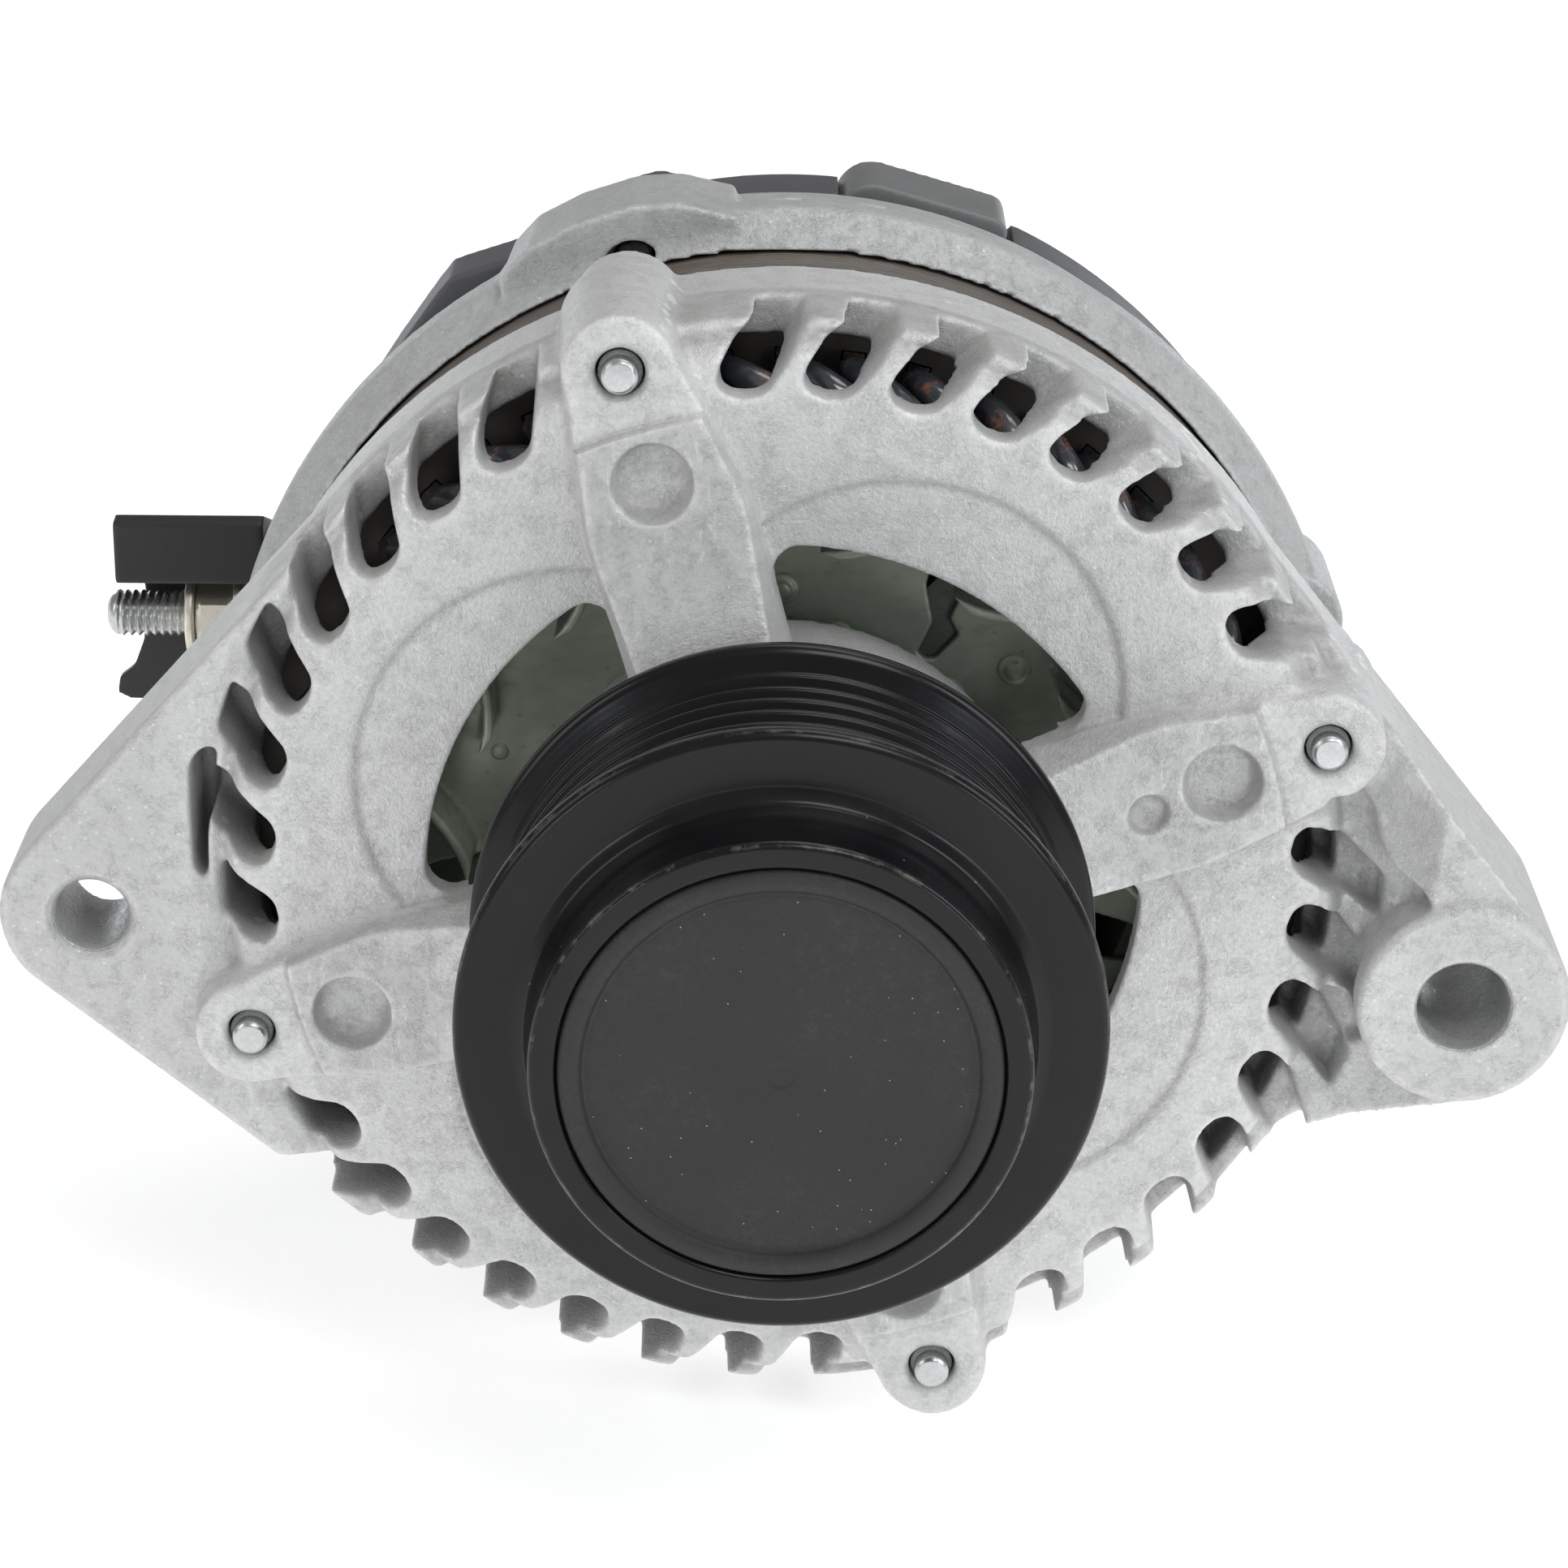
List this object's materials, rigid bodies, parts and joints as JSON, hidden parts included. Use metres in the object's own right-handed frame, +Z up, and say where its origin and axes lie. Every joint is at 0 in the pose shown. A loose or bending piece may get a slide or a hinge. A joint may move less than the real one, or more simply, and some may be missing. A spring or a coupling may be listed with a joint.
{
  "type": "car alternator",
  "caption": "Belt-driven car alternator: vented cast housings on a wound stator, grooved overrunning pulley, pivot and adjuster lugs, battery stud and rear plug socket.",
  "frame": {"origin": "on the shaft's axis at the middle of the pulley's belt track", "axes": "+Y along the shaft from the pulley to the rear cover, +X towards the pivot lug, +Z up towards the plug socket"},
  "size_m": [0.1795, 0.1375, 0.1378],
  "materials": {
    "cast_aluminium": "fine-grained die-cast skin",
    "cast_aluminium_dark": "fine-grained die-cast skin",
    "lamination_steel": "stacked thin sheets, varnished",
    "enamelled_copper": "varnished copper",
    "zinc_steel": "zinc plated",
    "cream_zinc": "pale yellow passivated zinc",
    "bearing_steel": "ground and polished",
    "pressed_steel": "pressed sheet",
    "machined_steel": "turned",
    "pole_steel": "forged, varnished",
    "spring_steel": "drawn wire",
    "seal_rubber": "moulded rubber",
    "black_resin": "glass-filled resin",
    "bobbin_resin": "natural nylon",
    "grey_resin": "glass-filled resin",
    "black_plastic": "satin moulded plastic",
    "black_coated_steel": "satin black coated steel",
    "heatsink_aluminium": "pressed plate",
    "diode_case": "tinned case",
    "ring_copper": "turned copper",
    "tinned_copper": "tinned",
    "carbon": "sintered carbon and copper"
  },
  "bodies": {
    "housing": {"front_housing": "cast_aluminium", "rear_housing": "cast_aluminium_dark", "stator_core": "lamination_steel", "stator_conductors": "enamelled_copper", "stator_winding_front": "enamelled_copper", "stator_winding_rear": "enamelled_copper", "through_bolts": "zinc_steel", "front_bearing_outer_race": "bearing_steel", "front_bearing_seals": "seal_rubber", "bearing_retainer": "pressed_steel", "retainer_screws": "zinc_steel", "rear_bearing_outer_race": "bearing_steel", "rear_bearing_sleeve": "black_resin", "rectifier_negative_plate": "heatsink_aluminium", "rectifier_positive_plate": "heatsink_aluminium", "rectifier_terminal_block": "black_resin", "negative_diodes": "diode_case", "positive_diodes": "diode_case", "rectifier_screws": "zinc_steel", "voltage_regulator": "grey_resin", "regulator_pins": "tinned_copper", "regulator_screws": "zinc_steel", "brush_holder": "black_resin", "positive_brush_spring": "spring_steel", "negative_brush_spring": "spring_steel", "rear_cover": "black_plastic", "cover_nuts": "zinc_steel", "battery_stud": "zinc_steel", "terminal_nut": "cream_zinc", "terminal_shroud": "black_plastic"},
    "rotor": {"rotor_shaft": "machined_steel", "front_claw_pole": "pole_steel", "rear_claw_pole": "pole_steel", "coil_bobbin": "bobbin_resin", "field_coil": "enamelled_copper", "front_fan": "pressed_steel", "rear_fan": "pressed_steel", "slip_ring_insulator": "black_resin", "slip_rings": "ring_copper", "shaft_spacer": "machined_steel", "front_bearing_inner_race": "bearing_steel", "rear_bearing_inner_race": "bearing_steel", "pulley_hub": "machined_steel"},
    "pulley": {"pulley_sheave": "black_coated_steel", "pulley_cap": "black_plastic", "clutch_outer_race": "bearing_steel", "pulley_rear_seal": "seal_rubber"},
    "front_ball_train": {"front_bearing_balls": "bearing_steel", "front_bearing_cage": "pressed_steel"},
    "rear_ball_train": {"rear_bearing_balls": "bearing_steel", "rear_bearing_cage": "pressed_steel"},
    "clutch_roller_train": {"clutch_rollers": "bearing_steel", "clutch_cage": "bobbin_resin"},
    "positive_brush_body": {"positive_brush": "carbon"},
    "negative_brush_body": {"negative_brush": "carbon"}
  },
  "joints": [
    {"name": "rotor_spin", "type": "hinge", "parent": "housing", "child": "rotor", "pos_m": [0, 0, 0], "axis": [0, 1, 0], "continuous": true},
    {"name": "pulley_overrun", "type": "hinge", "parent": "rotor", "child": "pulley", "pos_m": [0, 0, 0], "axis": [0, 1, 0], "continuous": true},
    {"name": "front_ball_train_spin", "type": "hinge", "parent": "housing", "child": "front_ball_train", "pos_m": [0, 0.027, 0], "axis": [0, 1, 0], "continuous": true},
    {"name": "rear_ball_train_spin", "type": "hinge", "parent": "housing", "child": "rear_ball_train", "pos_m": [0, 0.091, 0], "axis": [0, 1, 0], "continuous": true},
    {"name": "roller_train_spin", "type": "hinge", "parent": "rotor", "child": "clutch_roller_train", "pos_m": [0, 0, 0], "axis": [0, 1, 0], "continuous": true},
    {"name": "positive_brush_slide", "type": "slide", "parent": "housing", "child": "positive_brush_body", "axis": [0, 0, 1], "range_m": [0, 0.004], "stiffness_N_per_m": 150, "springref_m": -0.01, "deforming": ["positive_brush_spring"]},
    {"name": "negative_brush_slide", "type": "slide", "parent": "housing", "child": "negative_brush_body", "axis": [0, 0, 1], "range_m": [0, 0.004], "stiffness_N_per_m": 150, "springref_m": -0.01, "deforming": ["negative_brush_spring"]}
  ],
  "couplings": [
    {"joint": "front_ball_train_spin", "follows": "rotor_spin", "ratio": 0.3644},
    {"joint": "rear_ball_train_spin", "follows": "rotor_spin", "ratio": 0.399},
    {"joint": "roller_train_spin", "follows": "pulley_overrun", "ratio": 0.54}
  ]
}
